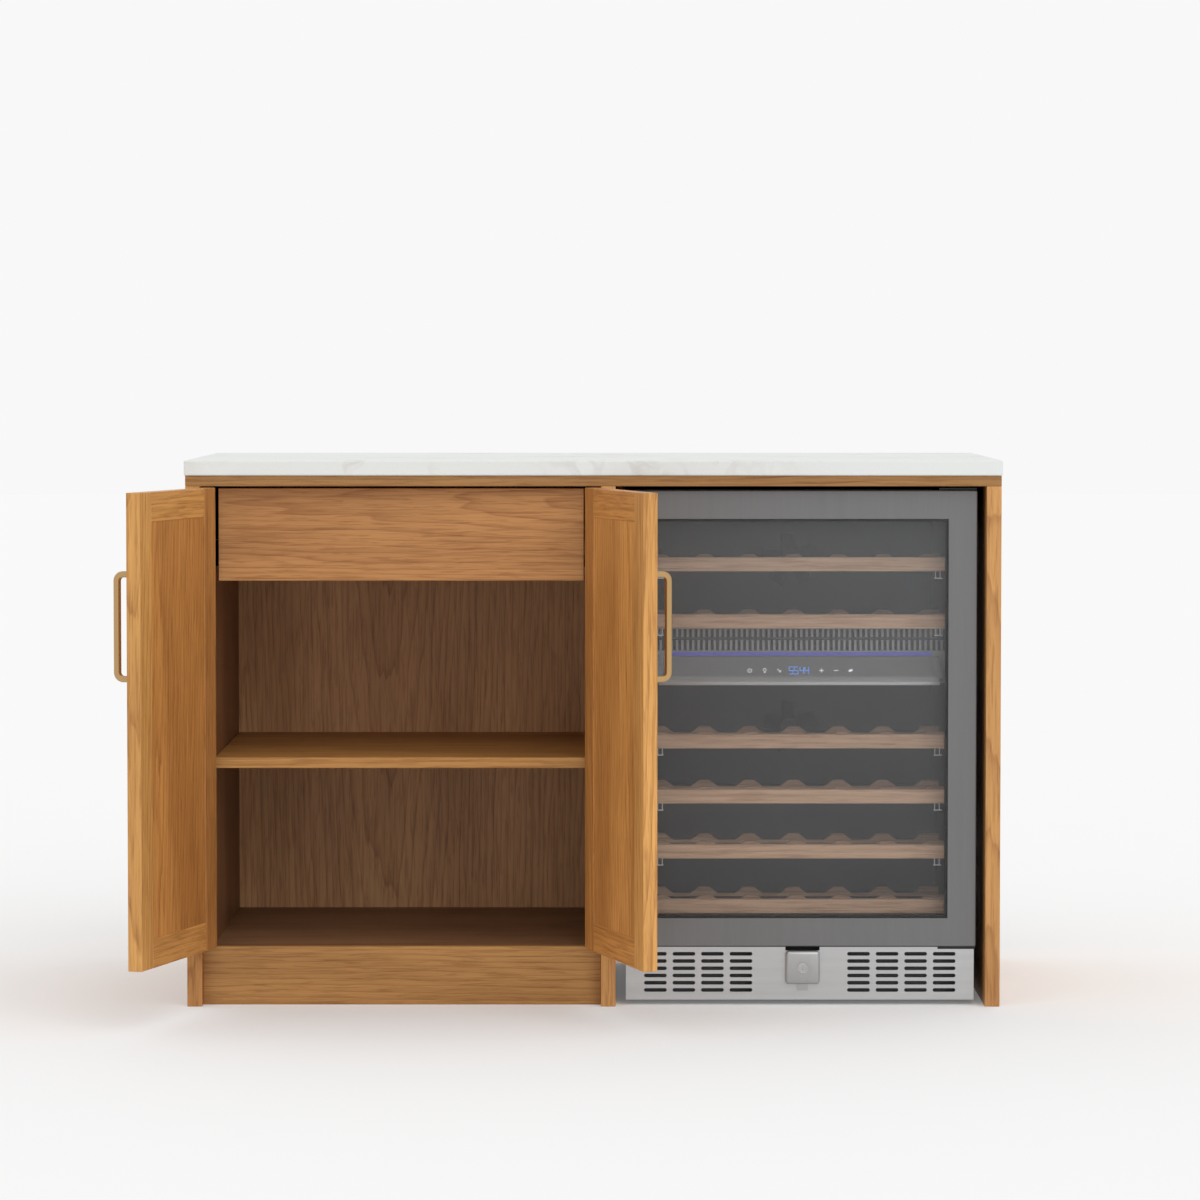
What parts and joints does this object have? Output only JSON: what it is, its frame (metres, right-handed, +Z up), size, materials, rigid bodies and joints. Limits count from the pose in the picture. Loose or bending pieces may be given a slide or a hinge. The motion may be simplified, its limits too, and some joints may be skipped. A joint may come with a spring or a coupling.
{
  "type": "wine bar cabinet",
  "caption": "Counter-height wine bar cabinet with a stone worktop, a shaker-door cupboard holding a drawer and a shelf, and a built-in glass-door wine cooler.",
  "frame": {"origin": "on the floor, under the middle of the foot of the partition between the two bays", "axes": "+X to the right along the worktop, +Y from the front to the back, +Z up"},
  "size_m": [1.4645, 1.0078, 0.922],
  "materials": {
    "quartz": "polished pale quartz",
    "cabinet_wood": "satin honey-toned veneer",
    "brass": "satin brushed",
    "zinc_steel": "zinc plated",
    "cooler_black": "matte black",
    "door_steel": "dark brushed steel",
    "kick_steel": "brushed steel",
    "lock_black": "satin grey",
    "lock_metal": "polished",
    "glass": "tinted clear glass",
    "spacer_aluminium": "black anodised",
    "condenser_aluminium": "bare fins",
    "rubber": "soft black",
    "rack_wood": "oiled",
    "panel_black": "gloss black",
    "led": "lit diffuser"
  },
  "bodies": {
    "cabinet": {"countertop_slab": "quartz", "sub_top": "cabinet_wood", "left_side_panel": "cabinet_wood", "middle_partition": "cabinet_wood", "right_side_panel": "cabinet_wood", "rear_rails": "cabinet_wood", "toe_kick": "cabinet_wood", "bottom_board": "cabinet_wood", "back_panel": "cabinet_wood", "left_liner": "cabinet_wood", "right_liner": "cabinet_wood", "adjustable_shelf": "cabinet_wood", "shelf_supports": "zinc_steel", "slide_outer_members": "zinc_steel", "hinge_frame_leaves": "zinc_steel", "cooler_shell": "cooler_black", "cooler_liner": "cooler_black", "cooler_base": "zinc_steel", "cooler_feet": "rubber", "compressor": "cooler_black", "condenser": "condenser_aluminium", "cooler_kick_plate": "kick_steel", "lock_housing": "lock_black", "cooler_hinge_brackets": "zinc_steel", "rack_fronts": "rack_wood", "rack_frames": "rack_wood", "zone_divider": "cooler_black", "control_panel": "panel_black", "led_strips": "led"},
    "left_door": {"left_door_hinge_stile": "cabinet_wood", "left_door_meeting_stile": "cabinet_wood", "left_door_top_rail": "cabinet_wood", "left_door_bottom_rail": "cabinet_wood", "left_door_panel": "cabinet_wood", "left_door_handle": "brass", "left_door_hinge_leaves": "zinc_steel"},
    "right_door": {"right_door_hinge_stile": "cabinet_wood", "right_door_meeting_stile": "cabinet_wood", "right_door_top_rail": "cabinet_wood", "right_door_bottom_rail": "cabinet_wood", "right_door_panel": "cabinet_wood", "right_door_handle": "brass", "right_door_hinge_leaves": "zinc_steel"},
    "drawer": {"drawer_front": "cabinet_wood", "drawer_left_side": "cabinet_wood", "drawer_right_side": "cabinet_wood", "drawer_back": "cabinet_wood", "drawer_bottom": "cabinet_wood", "slide_inner_members": "zinc_steel"},
    "slide_middle": {"slide_middle_members": "zinc_steel"},
    "cooler_door": {"cooler_door_frame": "door_steel", "cooler_glass_panes": "glass", "glass_spacer": "spacer_aluminium", "cooler_gasket": "rubber", "cooler_handle": "door_steel"},
    "lock_core": {"lock_cylinder": "lock_metal"},
    "upper_rotor": {"upper_fan": "cooler_black"},
    "lower_rotor": {"lower_fan": "cooler_black"},
    "condenser_rotor": {"condenser_fan": "cooler_black"}
  },
  "joints": [
    {"name": "left_door_hinge", "type": "hinge", "parent": "cabinet", "child": "left_door", "pos_m": [-0.6849, -0.3402, 0.489], "axis": [0, 0, -1], "range_deg": [-106.7, 13.3]},
    {"name": "right_door_hinge", "type": "hinge", "parent": "cabinet", "child": "right_door", "pos_m": [-0.0136, -0.3402, 0.489], "axis": [0, 0, 1], "range_deg": [-106.7, 13.3]},
    {"name": "drawer_slide", "type": "slide", "parent": "cabinet", "child": "drawer", "axis": [0, -1, 0], "range_m": [0, 0.4]},
    {"name": "middle_slide", "type": "slide", "parent": "cabinet", "child": "slide_middle", "axis": [0, -1, 0], "range_m": [0, 0.2]},
    {"name": "cooler_door_hinge", "type": "hinge", "parent": "cabinet", "child": "cooler_door", "pos_m": [0.60875, -0.301, 0.485], "axis": [0, 0, 1], "range_deg": [0, 100]},
    {"name": "lock_turn", "type": "hinge", "parent": "cabinet", "child": "lock_core", "pos_m": [0.32875, -0.32, 0.0645], "axis": [0, -1, 0], "range_deg": [0, 90]},
    {"name": "upper_fan_spin", "type": "hinge", "parent": "cabinet", "child": "upper_rotor", "pos_m": [0.32425, 0.1705, 0.73465], "axis": [0, 1, 0], "continuous": true},
    {"name": "lower_fan_spin", "type": "hinge", "parent": "cabinet", "child": "lower_rotor", "pos_m": [0.32425, 0.1705, 0.43475], "axis": [0, 1, 0], "continuous": true},
    {"name": "condenser_fan_spin", "type": "hinge", "parent": "cabinet", "child": "condenser_rotor", "pos_m": [0.43425, 0.191, 0.1035], "axis": [0, 1, 0], "continuous": true}
  ],
  "couplings": [
    {"joint": "middle_slide", "follows": "drawer_slide", "ratio": 0.5}
  ]
}
